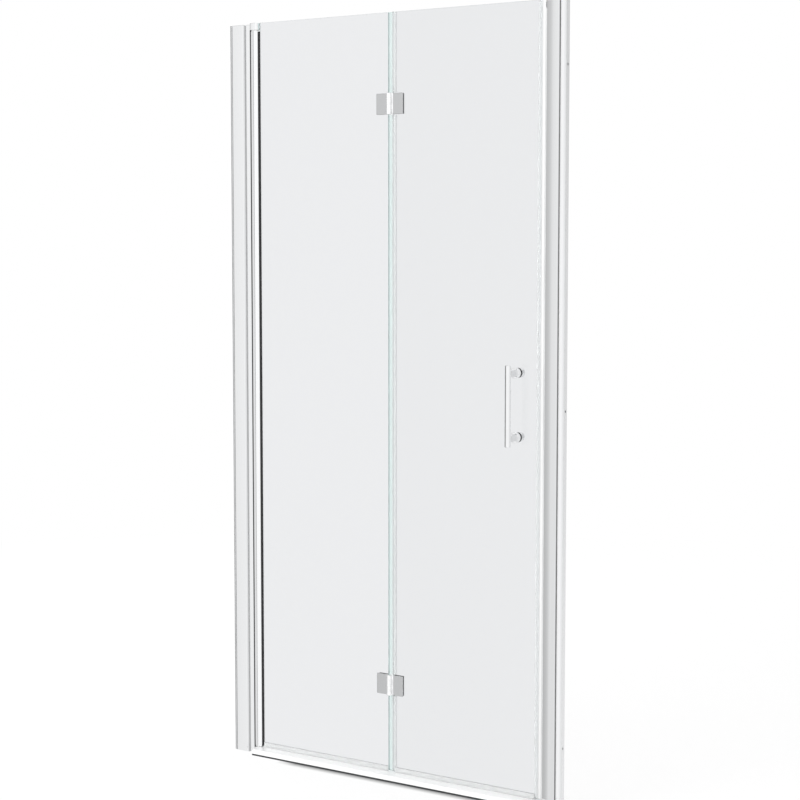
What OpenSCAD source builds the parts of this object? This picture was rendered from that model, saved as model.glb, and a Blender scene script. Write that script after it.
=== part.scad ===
// Frameless bifold shower door, left hung, with inward opening pivot panel.
// The pivot panel turns in the left jamb and the door panel folds on it,
// outside face to outside face. Both glass panels lie on the plane y = 0,
// the outside of the shower is -y, and z = 0 is the top of the shower tray.

/* [Overall] */
// Width from wall to wall
overall_w = 990; // [950:5:1050]
// Height of the glass above the tray
overall_h = 1900; // [1800:10:2000]

/* [Wall channels and posts] */
// Depth of a wall channel
channel_d = 23.8; // [23:0.1:23.8]
// Reach of a wall channel from the wall
channel_l = 30; // [28:1:32]
// Wall thickness of a wall channel
channel_t = 1.6; // [1.2:0.1:2]
// Outer corner radius of a wall channel
channel_r = 8.5; // [6:0.5:10]
// Height of the wall channels and posts
post_h = 1895; // [1790:5:1895]
// Depth of a post
post_d = 28; // [28:0.5:30]
// Distance from the wall to the near side of a post
post_x = 12.5; // [11:0.5:14]
// Width of the raised box of the pivot jamb
jamb_box_w = 33.8; // [33:0.2:38]
// Width of the strike post
strike_w = 35.2; // [33:0.2:36]
// Drop of the strike post's curved front at its free edge
strike_drop = 3; // [2:0.1:3]
// Diameter of a wall screw hole
wall_hole_d = 5; // [4:0.5:6]
// Distance between the wall screw holes
wall_hole_gap = 800; // [700:10:850]

/* [Pivot] */
// Distance from the wall to the pivot axis
pivot_x = 77; // [76:0.5:78]
// Radius of the pivot tube
tube_r = 11; // [10.5:0.1:11.5]
// Radius of the cradle in the jamb that the tube turns in
cradle_r = 13; // [13:0.1:13.5]
// Diameter of a pivot pin
pivot_pin_d = 8; // [6:0.5:8]
// Height of a pivot block that shows above the tray
pivot_block_h = 15; // [14:0.5:16]

/* [Glass] */
// Thickness of the glass
glass_t = 6; // [5:1:6]
// Height of the glass edge above the tray
glass_z = 19; // [18.8:0.1:20]
// Gap between the two glass panels
fold_gap = 13.2; // [13:0.1:14]
// Distance from the right wall to the free edge of the door glass
door_edge_x = 63; // [62.5:0.5:65]

/* [Hinges] */
// Distance of the hinge pins right of the middle of the door
hinge_x = 4.5; // [3:0.5:6]
// Distance of the hinge pins in front of the middle of the glass
hinge_y = 8; // [8:0.1:9]
// Height of the lower hinge's middle
hinge_low_z = 239; // [200:1:300]
// Height of the upper hinge's middle
hinge_high_z = 1679; // [1600:1:1700]
// Height of a hinge
hinge_h = 51; // [50:1:56]
// Reach of a leaf from the pin
leaf_reach = 38.7; // [38:0.1:42]
// Radius of a hinge knuckle
knuckle_r = 7.5; // [7.2:0.1:7.5]

/* [Handle] */
// Distance of the handle right of the middle of the door
handle_x = 367.2; // [340:0.2:380]
// Height of the handle's middle
handle_z = 959; // [900:1:1100]
// Distance between the handle posts
handle_gap = 153; // [120:1:200]
// Length of the handle bar
handle_l = 193; // [180:1:240]
// Diameter of the handle bar
bar_d = 15; // [12:0.5:18]
// Distance from the glass to the middle of the bar
bar_out = 40; // [38:1:55]
// Diameter of a handle post
handle_post_d = 18.4; // [18:0.2:20]

/* [Threshold] */
// Distance from the middle of the glass to the front of the threshold
sill_front = 36.7; // [32:0.1:40]
// Distance from the middle of the glass to the back of the threshold
sill_back = 18.5; // [18:0.1:24]
// Height of the threshold
sill_h = 16.8; // [16:0.1:16.8]
// Thickness of the base gasket
base_t = 4; // [3:0.5:4]

/* [Hidden] */

$fn = 48;
eps = 0.01;
slip = 0.05;                 // running and fitting clearance

wall = overall_w / 2;
half_glass = glass_t / 2;
axis_x = pivot_x - wall;     // x of the pivot axis

// ---- frame values
wall_hole_y = channel_r / 2;  // middle of the flat wall side
wall_hole_z = 950;
box_t = 1.8;                 // wall of a post box
box_in = channel_d / 2 + 0.2;
jamb_box_x = post_x + jamb_box_w;
jamb_step_x = jamb_box_x + 5.2;
jamb_lip_y = 13.3;           // half depth of the lip beside the box
jamb_step_y = 13.5;
recess_x = jamb_step_x + 0.1;
recess_y = 9.5;              // half depth of the jamb beside the tube
jamb_end_x = pivot_x - 10.6;
cavity_x = jamb_box_x;       // hollow behind the recess
cavity_end_x = jamb_end_x - 4.6;
cavity_y = 7.7;
strike_x = post_x + strike_w;
strike_r = (strike_w * strike_w + strike_drop * strike_drop) / (2 * strike_drop);
strike_deep_x = channel_l + 1;
strike_in_y = 9.2;           // half depth of the hollow beyond the channel
strike_side_t = 1.8;
groove_w = 3.2;              // groove that holds the strike magnet's stem
groove_t = 2.2;
cap_t = 1.5;
edge_seal_w = 1.8;
edge_seal_t = 1.5;
edge_seal_y = channel_d / 2 + slip + edge_seal_t / 2;
fix_x = 24;                  // screws that hold a post on its channel
fix_z = [160, 950, 1740];
fix_r = 1.75;

// ---- pivot values
pin_r = pivot_pin_d / 2;
block_r = cradle_r - 0.2;
block_top_z = overall_h - 17.5;
tube_z0 = pivot_block_h + 1;
tube_z1 = block_top_z - 1;
bush_l = 18;
bush_r = 5;
jaw_end_x = axis_x + 12.9;
jaw_z0 = glass_z + 1.5;
jaw_z1 = overall_h - 22;
jaw_y = 8.5;
face_y = 10.1;               // flat front of the tube
seam_x = axis_x + 1.1;       // groove between the flat and the front jaw
seam_w = 0.8;
slot_x = axis_x + 6.6;       // bottom of the glass slot
slot_y = half_glass + 1.2;
glass1_x0 = slot_x + 0.4;
tongue_h = 15;
tongue_y = 4.9;
tongue_x0 = cavity_x + 2;
tongue_screw_x = cavity_x + 10;

// ---- glass and hinge values
gap_x0 = hinge_x - 0.3 - fold_gap / 2;
gap_x1 = gap_x0 + fold_gap;
glass2_x1 = wall - door_edge_x;
hinge_zs = [hinge_low_z, hinge_high_z];
pad_t = 0.8;
rear_pad_t = 2;
rear_short = 2.5;            // by which the rear plates are shorter
leaf_t = 3.8;
clamp_t = 3.5;
leaf_y0 = -half_glass - pad_t - leaf_t;
knuckle_cut_r = knuckle_r + 0.5;
segment = hinge_h / 4;
joint_gap = 0.5;
hinge_pin_r = 3;
leaf_gap = 8.5;              // from the pin to a leaf's near edge
screw_dx = 25.5;
screw_dz = 13;
glass_hole_r = 6;
boss_r = 5.9;
m5_r = 2.5;
screw_bore_r = 2.6;

// ---- handle values
bar_y = -half_glass - bar_out;
bar_r = bar_d / 2;
post_r = handle_post_d / 2;
rose_r = post_r + 3.1;
rose_t = 10;
washer_t = 1.5;
rear_cap_r = rose_r - 0.3;
post_y0 = bar_y + 5;
rose_y1 = -half_glass - washer_t;
rear_cap_t = 13;
handle_zs = [handle_z - handle_gap / 2, handle_z + handle_gap / 2];

// ---- threshold and seal values
sill_x0 = axis_x + 4.2;
sill_x1 = wall - strike_x - 1.4;
sill_cap_t = 1.5;
sill_web = 1;
sill_web_t = 1.4;
seal_y = half_glass + 1.25;
seal_top = 29;
seal_bottom = 17.4;
clip_y = half_glass + 1.1;
clip_in = half_glass + slip;
fold_clip_w = 10;            // reach of the clips over the glass
edge_clip_w = 10;
magnet_x0 = glass2_x1 + 3;
magnet_x1 = magnet_x0 + 7.3;
magnet_y = 6;
strike_magnet_t = 4.5;
clear_h = hinge_h / 2 + 1.5;
fold_zs = [
    [glass_z, hinge_low_z - clear_h],
    [hinge_low_z + clear_h, hinge_high_z - clear_h],
    [hinge_high_z + clear_h, overall_h]
];

// ======================================================== helpers
module at_left() { translate([-wall, 0, 0]) children(); }
module at_right() { translate([wall, 0, 0]) mirror([1, 0, 0]) children(); }
module at_axis() { translate([axis_x, 0, 0]) children(); }

// A rod along +y that starts at y0
module y_rod(x, z, y0, len, r) {
    translate([x, y0, z]) rotate([-90, 0, 0]) cylinder(h = len, r = r);
}

// Outline of a wall channel, drawn in by inset
module channel_outline(inset) {
    half = channel_d / 2;
    translate([channel_r, channel_r - half]) circle(r = channel_r - inset);
    translate([channel_r, inset - half])
        square([channel_l - channel_r + inset, channel_d - 2 * inset]);
    translate([inset, channel_r - half])
        square([channel_r, channel_d - channel_r - inset]);
}

// ======================================================== frame
// Aluminium channel that is screwed to the wall. Its open side takes a post.
module wall_channel() {
    difference() {
        linear_extrude(post_h) difference() {
            channel_outline(0);
            channel_outline(channel_t);
        }
        for (k = [-1, 0, 1])
            translate([-1, wall_hole_y, wall_hole_z + k * wall_hole_gap])
                rotate([0, 90, 0]) cylinder(h = channel_t + 2, d = wall_hole_d);
        for (z = fix_z)
            y_rod(fix_x, z, channel_d / 2 - channel_t - 1, channel_t + 2, fix_r);
    }
}

module wall_channel_left() { color("gainsboro") at_left() wall_channel(); }
module wall_channel_right() { color("gainsboro") at_right() wall_channel(); }

module jamb_outline() {
    half = post_d / 2;
    polygon([
        [post_x, -half], [jamb_box_x, -half], [jamb_box_x, -jamb_lip_y],
        [jamb_step_x, -jamb_step_y], [recess_x, -recess_y], [jamb_end_x, -recess_y],
        [jamb_end_x, recess_y], [recess_x, recess_y], [jamb_step_x, jamb_step_y],
        [jamb_box_x, jamb_lip_y], [jamb_box_x, half], [post_x, half]
    ]);
}

// Pivot jamb: a box that slides over the wall channel, with a hollow cradle
// for the pivot tube along its free side.
module pivot_jamb() {
    color("silver") at_left() difference() {
        linear_extrude(post_h) difference() {
            jamb_outline();
            translate([pivot_x, 0]) circle(r = cradle_r);
            translate([post_x - 1, -box_in])
                square([jamb_box_w - box_t + 1, 2 * box_in]);
            translate([cavity_x, -cavity_y])
                square([cavity_end_x - cavity_x, 2 * cavity_y]);
        }
        for (z = fix_z) y_rod(fix_x, z, box_in - 1, box_t + 2, fix_r);
        for (z = [-1, post_h - tongue_h])
            translate([cavity_end_x - 1, -tongue_y - 0.1, z])
                cube([8, 2 * tongue_y + 0.2, tongue_h + 1.2]);
        for (z = [tongue_h / 2, post_h - tongue_h / 2])
            y_rod(tongue_screw_x, z, cavity_y - 1, 4, fix_r);
    }
}

module strike_outline() {
    half = post_d / 2;
    intersection() {
        translate([post_x, -half]) square([strike_w, post_d]);
        translate([post_x, strike_r - half]) circle(r = strike_r, $fn = 720);
    }
}

// Strike post: a box over the right wall channel with a shallow curved
// front and a groove for the magnet strip in its side.
module strike_post() {
    color("silver") at_right() difference() {
        linear_extrude(post_h) difference() {
            strike_outline();
            translate([post_x - 1, -box_in])
                square([strike_deep_x - post_x + 1, 2 * box_in]);
            difference() {
                translate([strike_deep_x - eps, -strike_in_y])
                    square([strike_x - strike_side_t - strike_deep_x, 2 * strike_in_y]);
                translate([strike_x - 6.2, -4.5]) square([8, 9]);
            }
            translate([strike_x - groove_t - eps, -groove_w / 2])
                square([groove_t + 1, groove_w]);
            translate([strike_x - groove_t - 2, -2.8]) square([2, 5.6]);
        }
        for (z = fix_z) y_rod(fix_x, z, box_in - 1, box_t + 2, fix_r);
    }
}

// Flat caps on top of both posts, each with a plug inside its post
module post_top_caps() {
    color("silver") {
        at_left() difference() {
            union() {
                translate([0, 0, post_h]) linear_extrude(cap_t) {
                    channel_outline(0);
                    jamb_outline();
                }
                translate([fix_x - 6, -8, post_h - 8]) cube([12, 16, 8]);
            }
            translate([pivot_x, 0, post_h - 10]) cylinder(h = 20, r = cradle_r);
            translate([cavity_x + 1, -tongue_y - 0.1, post_h - 1])
                cube([30, 2 * tongue_y + 0.2, 4]);
        }
        at_right() {
            translate([0, 0, post_h]) linear_extrude(cap_t) {
                channel_outline(0);
                strike_outline();
            }
            translate([fix_x - 6, -8, post_h - 8]) cube([12, 16, 8]);
        }
    }
}

module post_screws() {
    for (z = fix_z) {
        y_rod(fix_x, z, channel_d / 2 - channel_t - 3, 6.9, fix_r - slip);
        y_rod(fix_x, z, post_d / 2, 2, 3.6);
    }
}

// Pan head screws on the shower side that fix the posts to the channels
module post_fixing_screws() {
    color("dimgray") {
        at_left() post_screws();
        at_right() post_screws();
    }
}

module screw_covers() {
    for (z = fix_z) difference() {
        translate([fix_x, post_d / 2, z]) rotate([-90, 0, 0]) rotate_extrude()
            polygon([[0, 0], [6, 0], [6, 2.2], [5, 3.4], [3, 4], [0, 4]]);
        y_rod(fix_x, z, post_d / 2 - 1, 3.3, 4.2);
    }
}

// Strips on the wall channel that seal the edge of a post
module edge_seals() {
    for (s = [-1, 1])
        translate([post_x - edge_seal_w, s * edge_seal_y - edge_seal_t / 2, 0])
            cube([edge_seal_w - slip, edge_seal_t, post_h]);
}

module post_edge_seals() {
    color("dimgray") {
        at_left() edge_seals();
        at_right() edge_seals();
    }
}

// Snap covers over the heads of the fixing screws
module fixing_screw_covers() {
    color("silver") {
        at_left() screw_covers();
        at_right() screw_covers();
    }
}

// White magnet strip, held in the strike post's groove by its stem
module strike_magnet() {
    color("white") at_right() translate([0, 0, glass_z + 1])
        linear_extrude(post_h - glass_z - 16) {
            translate([strike_x, -magnet_y]) square([strike_magnet_t, 2 * magnet_y]);
            translate([strike_x - groove_t - 0.2, -groove_w / 2 + 0.1])
                square([groove_t + 0.3, groove_w - 0.2]);
            translate([strike_x - groove_t - 1.8, -2.6]) square([1.7, 5.2]);
        }
}

// Soft wiper in the cradle behind the pivot tube
module jamb_wiper_seal() {
    inner = tube_r + 0.6;
    color("dimgray") at_left() translate([0, 0, pivot_block_h + 1])
        linear_extrude(block_top_z - pivot_block_h - 2) difference() {
            translate([pivot_x, 0]) circle(r = cradle_r - slip);
            translate([pivot_x, 0]) circle(r = inner);
            translate([pivot_x - 10.6, -20]) square([40, 40]);
        }
}

// ======================================================== pivot blocks
// A pivot block fills the cradle and is keyed into the jamb by its tongue.
module pivot_block(z0, z1, tongue_z) {
    difference() {
        union() {
            translate([pivot_x, 0, z0]) cylinder(h = z1 - z0, r = block_r);
            translate([jamb_end_x + 0.1, 0.1 - recess_y, z0])
                cube([pivot_x - jamb_end_x, recess_y - 0.1, z1 - z0]);
            translate([tongue_x0, -tongue_y, tongue_z])
                cube([pivot_x - tongue_x0, 2 * tongue_y, tongue_h - 0.4]);
        }
        translate([pivot_x, 0, tube_z0 - 1]) cylinder(h = tube_z1 - tube_z0 + 2, r = 20);
        translate([pivot_x - 20, -face_y - 10.1, -1]) cube([40, 10, overall_h + 2]);
        y_rod(tongue_screw_x, tongue_z + tongue_h / 2 - 0.2, -1, 12, fix_r);
    }
}

module pivot_block_top() {
    color("silver") at_left() difference() {
        pivot_block(block_top_z, overall_h, post_h - tongue_h + 0.2);
        translate([pivot_x, 0, block_top_z - 1]) cylinder(h = 9, r = pin_r);
    }
}

module pivot_block_bottom() {
    color("silver") at_left() difference() {
        pivot_block(0, pivot_block_h, 0.2);
        translate([pivot_x, 0, 3]) cylinder(h = 20, r = pin_r);
    }
}

// Steel pins, pressed into the blocks, that the bushes turn on
module pivot_pin_top() {
    color("slategray") at_axis() translate([0, 0, tube_z1 - bush_l + 2])
        cylinder(h = block_top_z + 8 - (tube_z1 - bush_l + 2), r = pin_r);
}

module pivot_pin_bottom() {
    color("slategray") at_axis() translate([0, 0, 3])
        cylinder(h = tube_z0 + bush_l - 5, r = pin_r);
}

// Set screws through the jamb's rear wall into the block tongues
module pivot_block_screws() {
    color("dimgray") at_left() for (z = [tongue_h / 2, post_h - tongue_h / 2]) {
        y_rod(tongue_screw_x, z, 0, recess_y, fix_r - slip);
        y_rod(tongue_screw_x, z, recess_y, 1.8, 3.4);
    }
}

// ======================================================== threshold
module sill_outline() {
    polygon([
        [-sill_front, base_t], [-sill_front + 1.2, 12.4], [-sill_front + 2, 14.4],
        [-sill_front + 3.6, 15.6], [-8, sill_h], [sill_back - 3, sill_h],
        [sill_back, sill_h - 3], [sill_back, base_t]
    ]);
}

// Three hollows under the top of the rail, with webs between them
module sill_hollows() {
    bay = (sill_front + sill_back - 6 - 2 * sill_web) / 3;
    for (k = [0, 1, 2])
        translate([-sill_front + 3 + k * (bay + sill_web), base_t + sill_web_t])
            square([bay, 8.4]);
}

module along_x(x0, x1) {
    translate([x0, 0, 0]) rotate([90, 0, 90]) linear_extrude(x1 - x0) children();
}

module round_pivot_block() {
    difference() {
        children();
        at_axis() translate([0, 0, -1]) cylinder(h = 40, r = cradle_r + 0.3);
    }
}

// Low aluminium rail on the tray below the closed door
module threshold_rail() {
    color("gainsboro") round_pivot_block() along_x(sill_x0, sill_x1) difference() {
        sill_outline();
        sill_hollows();
    }
}

module threshold_end_caps() {
    color("silver") {
        round_pivot_block() along_x(sill_x0 - sill_cap_t, sill_x0) sill_outline();
        along_x(sill_x1, sill_x1 + sill_cap_t / 2) sill_outline();
    }
}

// Dark sealing strip between the rail and the tray
module threshold_gasket() {
    color("dimgray") round_pivot_block() along_x(sill_x0 - sill_cap_t, sill_x1 + sill_cap_t / 2)
        translate([-sill_front, 0]) square([sill_front + sill_back, base_t]);
}

// ======================================================== pivot panel
// Front line of the turning tube: a flat, a fine groove and the sloping jaw
function tube_front() = [
    [axis_x - 6.5, -face_y], [seam_x, -face_y - 0.16], [seam_x, 1 - face_y],
    [seam_x + seam_w, 1 - face_y], [seam_x + seam_w, -face_y - 0.18],
    [jaw_end_x - 1.2, -jaw_y], [jaw_end_x, 1.2 - jaw_y]
];

// Turning tube with the jaws that grip the pivot glass
module pivot_profile() {
    color("silver") difference() {
        union() {
            at_axis() translate([0, 0, tube_z0])
                cylinder(h = tube_z1 - tube_z0, r = tube_r, $fn = 96);
            translate([0, 0, jaw_z0]) linear_extrude(jaw_z1 - jaw_z0) {
                polygon([
                    [axis_x + 4, 2], [axis_x + 4, 10.1], [jaw_end_x - 1.2, jaw_y],
                    [jaw_end_x, jaw_y - 1.2], [jaw_end_x, 2]
                ]);
                polygon(concat([[axis_x - 8, -2], [axis_x - 8.2, -7.3]], tube_front(),
                    [[jaw_end_x, -2]]));
            }
        }
        translate([0, 0, tube_z0 - 1]) linear_extrude(tube_z1 - tube_z0 + 2)
            polygon(concat([[axis_x - 6.5, -20]], tube_front(), [[jaw_end_x, -20]]));
        translate([slot_x, -slot_y, 0]) cube([20, 2 * slot_y, overall_h]);
        at_axis() cylinder(h = overall_h, r = bush_r);
    }
}

module pivot_bush(z_flange, z_sleeve) {
    difference() {
        at_axis() {
            translate([0, 0, z_sleeve]) cylinder(h = bush_l, r = bush_r);
            translate([0, 0, z_flange]) cylinder(h = 1 - slip, r = 9);
        }
        at_axis() cylinder(h = overall_h, r = pin_r + slip);
    }
}

// Nylon bushes in the ends of the tube, with thrust flanges
module pivot_bush_top() {
    color("ivory") pivot_bush(tube_z1, tube_z1 - bush_l);
}

module pivot_bush_bottom() {
    color("ivory") pivot_bush(tube_z0 - 1 + slip, tube_z0);
}

module glass_panel(x0, x1) {
    translate([x0, -half_glass, glass_z])
        cube([x1 - x0, glass_t, overall_h - glass_z]);
}

// Holes for one side of both hinges
module hinge_holes(x, r) {
    for (z = hinge_zs, k = [-1, 1]) y_rod(x, z + k * screw_dz, -20, 40, r);
}

// The top corner is notched to clear the upper pivot block
module pivot_glass() {
    color([0.8, 0.9, 0.9, 0.4]) difference() {
        glass_panel(glass1_x0, gap_x0);
        hinge_holes(hinge_x - screw_dx, glass_hole_r);
        translate([slot_x, -glass_t, jaw_z1 + 0.5]) cube([jaw_end_x + 3 - slot_x, 2 * glass_t, 40]);
    }
}

// A gasket beside the glass in the slot, with a lip that laps the jaw's end
module glazing_strip(side, lip_w, lip_t) {
    inner = half_glass + slip;
    outer = slot_y - slip;
    translate([0, 0, jaw_z0]) linear_extrude(jaw_z1 - jaw_z0) polygon([
        [slot_x + 0.4, side * inner], [slot_x + 0.4, side * outer],
        [jaw_end_x + slip, side * outer], [jaw_end_x + slip, side * (half_glass + lip_t)],
        [jaw_end_x + lip_w / 2, side * (half_glass + 0.8 * lip_t)],
        [jaw_end_x + lip_w, side * inner]
    ]);
}

// Black gasket between the front jaw and the glass, with a visible lip
module glazing_gasket_front() { color("black") glazing_strip(-1, 3.4, 3); }

// Wedge gasket pressed in behind the glass
module glazing_wedge_rear() { color("black") glazing_strip(1, 2.2, 2.6); }

// Clear clip-on seal along the bottom edge of a glass, with a fin that
// throws water back into the shower
module drip_seal(x0, x1) {
    along_x(x0, x1) difference() {
        union() {
            translate([-seal_y, seal_bottom]) square([2 * seal_y, seal_top - seal_bottom]);
            polygon([
                [seal_y - eps, seal_bottom], [seal_y + 4.5, seal_bottom],
                [seal_y + 4.5, seal_bottom + 0.8], [seal_y - eps, seal_bottom + 4]
            ]);
        }
        translate([-clip_in, glass_z - slip]) square([2 * clip_in, 20]);
    }
}

module pivot_drip_seal() {
    color("whitesmoke") drip_seal(jaw_end_x + 5, gap_x0 - 0.5);
}

// ======================================================== hinges
// Leaves are drawn round the pin at the origin; side is -1 for the pivot
// panel and 1 for the door panel. first is the lowest knuckle of the leaf.
module leaf(side, first) {
    y0 = leaf_y0 + hinge_y;
    difference() {
        union() {
            difference() {
                translate([side > 0 ? leaf_gap - 3 : -leaf_reach, y0, -hinge_h / 2])
                    cube([leaf_reach - leaf_gap + 3, leaf_t, hinge_h]);
                translate([0, 0, -hinge_h]) cylinder(h = 2 * hinge_h, r = knuckle_cut_r);
            }
            for (k = [first, first + 2])
                translate([0, 0, -hinge_h / 2 + k * segment + joint_gap / 2]) {
                    cylinder(h = segment - joint_gap, r = knuckle_r);
                    translate([side > 0 ? 0 : -leaf_gap - 1, y0, 0])
                        cube([leaf_gap + 1, leaf_t, segment - joint_gap]);
                }
        }
        translate([0, 0, -hinge_h]) cylinder(h = 2 * hinge_h, r = hinge_pin_r + slip);
        for (k = [-1, 1])
            y_rod(side * screw_dx, k * screw_dz, y0 + 1.2, leaf_t, m5_r);
    }
}

module at_hinge(z) { translate([hinge_x, -hinge_y, z]) children(); }

module hinge_pivot_leaf_lower() { color("silver") at_hinge(hinge_low_z) leaf(-1, 0); }
module hinge_pivot_leaf_upper() { color("silver") at_hinge(hinge_high_z) leaf(-1, 0); }
module hinge_door_leaf_lower() { color("silver") at_hinge(hinge_low_z) leaf(1, 1); }
module hinge_door_leaf_upper() { color("silver") at_hinge(hinge_high_z) leaf(1, 1); }

// Plate behind the glass with countersunk screw holes
module clamp_plate(side) {
    x0 = side > 0 ? leaf_gap + 1 : -leaf_reach + 1 + rear_short;
    y0 = half_glass + rear_pad_t + hinge_y;
    difference() {
        translate([x0, y0, -hinge_h / 2 + 1])
            cube([leaf_reach - leaf_gap - 2 - rear_short, clamp_t, hinge_h - 2]);
        for (k = [-1, 1]) translate([side * screw_dx, y0, k * screw_dz]) {
            y_rod(0, 0, -1, clamp_t + 2, screw_bore_r);
            translate([0, 1, 0]) rotate([-90, 0, 0])
                cylinder(h = clamp_t, r1 = screw_bore_r, r2 = screw_bore_r + 3.5);
        }
    }
}

module hinge_pivot_clamp_lower() { color("silver") at_hinge(hinge_low_z) clamp_plate(-1); }
module hinge_pivot_clamp_upper() { color("silver") at_hinge(hinge_high_z) clamp_plate(-1); }
module hinge_door_clamp_lower() { color("silver") at_hinge(hinge_low_z) clamp_plate(1); }
module hinge_door_clamp_upper() { color("silver") at_hinge(hinge_high_z) clamp_plate(1); }

// Black pads on both faces of the glass, the front ones with bosses that
// line the glass holes
module hinge_pads(side) {
    x0 = side > 0 ? leaf_gap + 0.4 : -leaf_reach + 0.4;
    w = leaf_reach - leaf_gap - 0.8;
    for (z = hinge_zs) at_hinge(z) difference() {
        union() {
            translate([x0, -half_glass - pad_t + hinge_y, -hinge_h / 2 + 0.4])
                cube([w, pad_t, hinge_h - 0.8]);
            translate([side > 0 ? x0 : x0 + rear_short, half_glass + hinge_y, -hinge_h / 2 + 0.4])
                cube([w - rear_short, rear_pad_t, hinge_h - 0.8]);
            for (k = [-1, 1])
                y_rod(side * screw_dx, k * screw_dz, hinge_y - half_glass, glass_t, boss_r);
        }
        for (k = [-1, 1]) y_rod(side * screw_dx, k * screw_dz, -10, 40, screw_bore_r);
    }
}

module hinge_pivot_pads() { color("black") hinge_pads(-1); }
module hinge_door_pads() { color("black") hinge_pads(1); }

// Countersunk screws from behind, through the glass, into the leaves
module clamp_screws(side) {
    y1 = half_glass + rear_pad_t + clamp_t;
    shank_y = -half_glass - pad_t - 2.4;
    for (z = hinge_zs, k = [-1, 1])
        translate([hinge_x + side * screw_dx, 0, z + k * screw_dz]) difference() {
            union() {
                y_rod(0, 0, shank_y, y1 - shank_y - 1, m5_r - slip);
                translate([0, y1 - 2.4, 0]) rotate([-90, 0, 0])
                    cylinder(h = 2.4, r1 = m5_r - slip, r2 = m5_r + 2.3);
            }
            translate([0, y1 - 1.6, 0]) rotate([-90, 0, 0]) cylinder(h = 3, r = 1.7, $fn = 6);
        }
}

module hinge_pivot_screws() { color("silver") clamp_screws(-1); }
module hinge_door_screws() { color("silver") clamp_screws(1); }

// Hinge pin with a thin head at both ends
module hinge_pin() {
    cylinder(h = hinge_h, r = hinge_pin_r, center = true);
    for (s = [-1, 1])
        translate([0, 0, s * (hinge_h / 2 + 0.4)]) cylinder(h = 1, r = 5.5, center = true);
}

module hinge_pin_lower() { color("slategray") at_hinge(hinge_low_z) hinge_pin(); }
module hinge_pin_upper() { color("slategray") at_hinge(hinge_high_z) hinge_pin(); }

// Thin washers between the knuckles
module hinge_washers() {
    color("ivory") for (z = hinge_zs, k = [1, 2, 3])
        at_hinge(z - hinge_h / 2 + k * segment) difference() {
            cylinder(h = joint_gap - 2 * slip, r = knuckle_r - 0.4, center = true);
            cylinder(h = 4, r = hinge_pin_r + slip, center = true);
        }
}

// ======================================================== door panel
module door_glass() {
    color([0.8, 0.9, 0.9, 0.4]) difference() {
        glass_panel(gap_x1, glass2_x1);
        hinge_holes(hinge_x + screw_dx, glass_hole_r);
        for (z = handle_zs) y_rod(handle_x, z, -20, 40, glass_hole_r);
    }
}

// Clear clip on the folding edge, with two soft fins that close the gap.
// It is cut away at the hinges.
module fold_seal() {
    base_x = gap_x1 - 1.1;
    tip_x = gap_x0 + 0.8;
    color("whitesmoke") for (span = fold_zs)
        translate([0, 0, span[0]]) linear_extrude(span[1] - span[0]) {
            difference() {
                translate([base_x, -clip_y])
                    square([gap_x1 + fold_clip_w - 0.2 - base_x, 2 * clip_y]);
                translate([gap_x1 - slip, -clip_in]) square([20, 2 * clip_in]);
            }
            for (s = [-1, 1]) polygon([
                [base_x + eps, s * 3.6], [base_x - 3, s * 3.2], [tip_x, s * 0.9],
                [tip_x, s * 0.1], [base_x - 3, s * 2.3], [base_x + eps, s * 2.7]
            ]);
        }
}

// Clear clip on the free edge that carries the door magnet
module door_edge_seal() {
    color("whitesmoke") translate([0, 0, glass_z + 1])
        linear_extrude(overall_h - glass_z - 2) difference() {
            union() {
                translate([glass2_x1 - edge_clip_w, -clip_y])
                    square([edge_clip_w + 1.2, 2 * clip_y]);
                translate([glass2_x1 + 1, -magnet_y]) square([2, 2 * magnet_y]);
            }
            translate([glass2_x1 - edge_clip_w - 1, -clip_in])
                square([edge_clip_w + 1 + slip, 2 * clip_in]);
        }
}

// White magnet strip that meets the one on the strike post
module door_magnet() {
    color("white") translate([0, 0, glass_z + 1]) linear_extrude(overall_h - glass_z - 2) {
        for (s = [-1, 1])
            translate([magnet_x1 - 1.5, s * (magnet_y - 1.5)]) circle(r = 1.5);
        translate([magnet_x1 - 1.6, -magnet_y + 1.5]) square([1.6, 2 * magnet_y - 3]);
        translate([magnet_x0, -magnet_y]) square([magnet_x1 - magnet_x0 - 1.5, 2 * magnet_y]);
    }
}

module door_drip_seal() {
    color("whitesmoke") drip_seal(gap_x1 + fold_clip_w, glass2_x1 - edge_clip_w - 0.2);
}

// ======================================================== handle
module handle_bar() {
    color("silver") difference() {
        translate([handle_x, bar_y, handle_z - handle_l / 2]) rotate_extrude()
            polygon([
                [0, 0], [bar_r - 1, 0], [bar_r, 1], [bar_r, handle_l - 1],
                [bar_r - 1, handle_l], [0, handle_l]
            ]);
        for (z = handle_zs) y_rod(handle_x, z, bar_y, 20, m5_r);
    }
}

// Round posts with a coped end that fits the bar
module handle_posts() {
    color("silver") for (z = handle_zs) difference() {
        y_rod(handle_x, z, bar_y, rose_y1 - rose_t - bar_y, post_r);
        translate([handle_x, bar_y, z - 20]) cylinder(h = 40, r = bar_r);
        translate([handle_x - 20, bar_y - 1, z - 20]) cube([40, post_y0 - bar_y + 1, 40]);
        y_rod(handle_x, z, bar_y, bar_out, screw_bore_r);
    }
}

module handle_roses() {
    color("silver") for (z = handle_zs) difference() {
        translate([handle_x, rose_y1 - rose_t, z]) rotate([-90, 0, 0]) rotate_extrude()
            polygon([
                [0, 0], [rose_r - 0.6, 0], [rose_r, 0.6], [rose_r, rose_t], [0, rose_t]
            ]);
        y_rod(handle_x, z, bar_y, bar_out, screw_bore_r);
    }
}

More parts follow.
